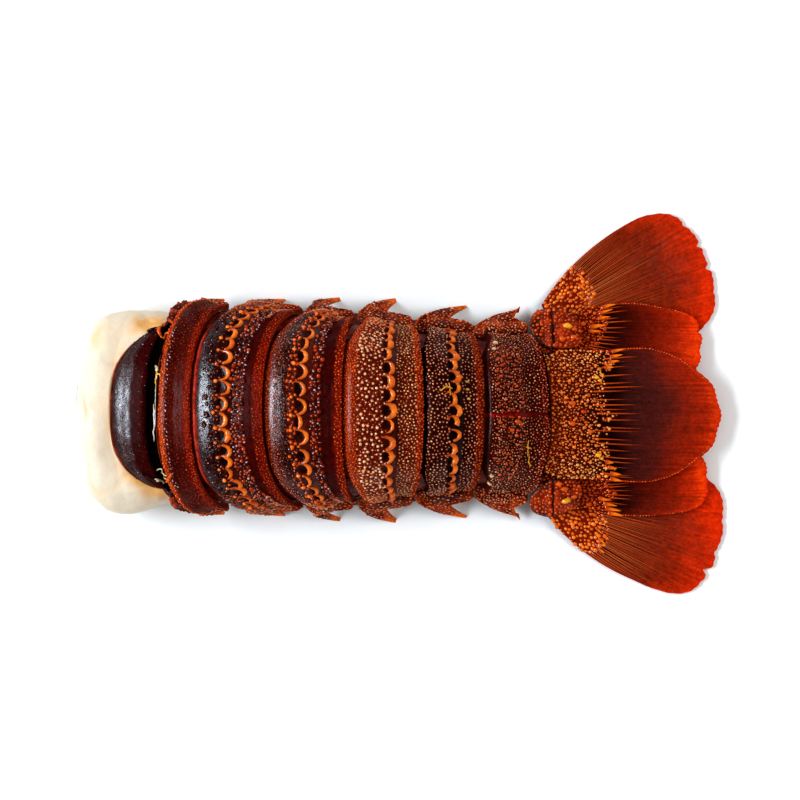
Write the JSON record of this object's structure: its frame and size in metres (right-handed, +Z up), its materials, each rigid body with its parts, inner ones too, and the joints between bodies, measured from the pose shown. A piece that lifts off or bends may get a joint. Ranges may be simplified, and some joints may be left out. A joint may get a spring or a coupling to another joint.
{
  "type": "cooked lobster tail",
  "caption": "Cooked rock lobster tail lying belly down, with white meat at the cut end, overlapping shell segments and a spread tail fan.",
  "frame": {"origin": "centre of the footprint, on the surface that the tail lies on", "axes": "+X from the cut end to the tail fan, +Z up from the belly to the back"},
  "size_m": [0.1704, 0.1002, 0.0394],
  "materials": {
    "meat": "moist, slightly translucent cooked meat",
    "shell": "wet granular shell, dark brown with orange ridges",
    "fan": "wet ribbed blade, dark at its base and red at its rim",
    "underside": "thin moist skin"
  },
  "bodies": {
    "root": {"meat": "meat", "tergite_1": "shell", "tergite_2": "shell", "tergite_3": "shell", "tergite_4": "shell", "tergite_5": "shell", "tergite_6": "shell", "protopod_left": "shell", "protopod_right": "shell", "telson": "fan", "endopod_left": "fan", "endopod_right": "fan", "exopod_left": "fan", "exopod_right": "fan", "underside": "underside", "swimmeret_2_left": "underside", "swimmeret_2_right": "underside", "swimmeret_3_left": "underside", "swimmeret_3_right": "underside", "swimmeret_4_left": "underside", "swimmeret_4_right": "underside", "swimmeret_5_left": "underside", "swimmeret_5_right": "underside"}
  },
  "joints": []
}
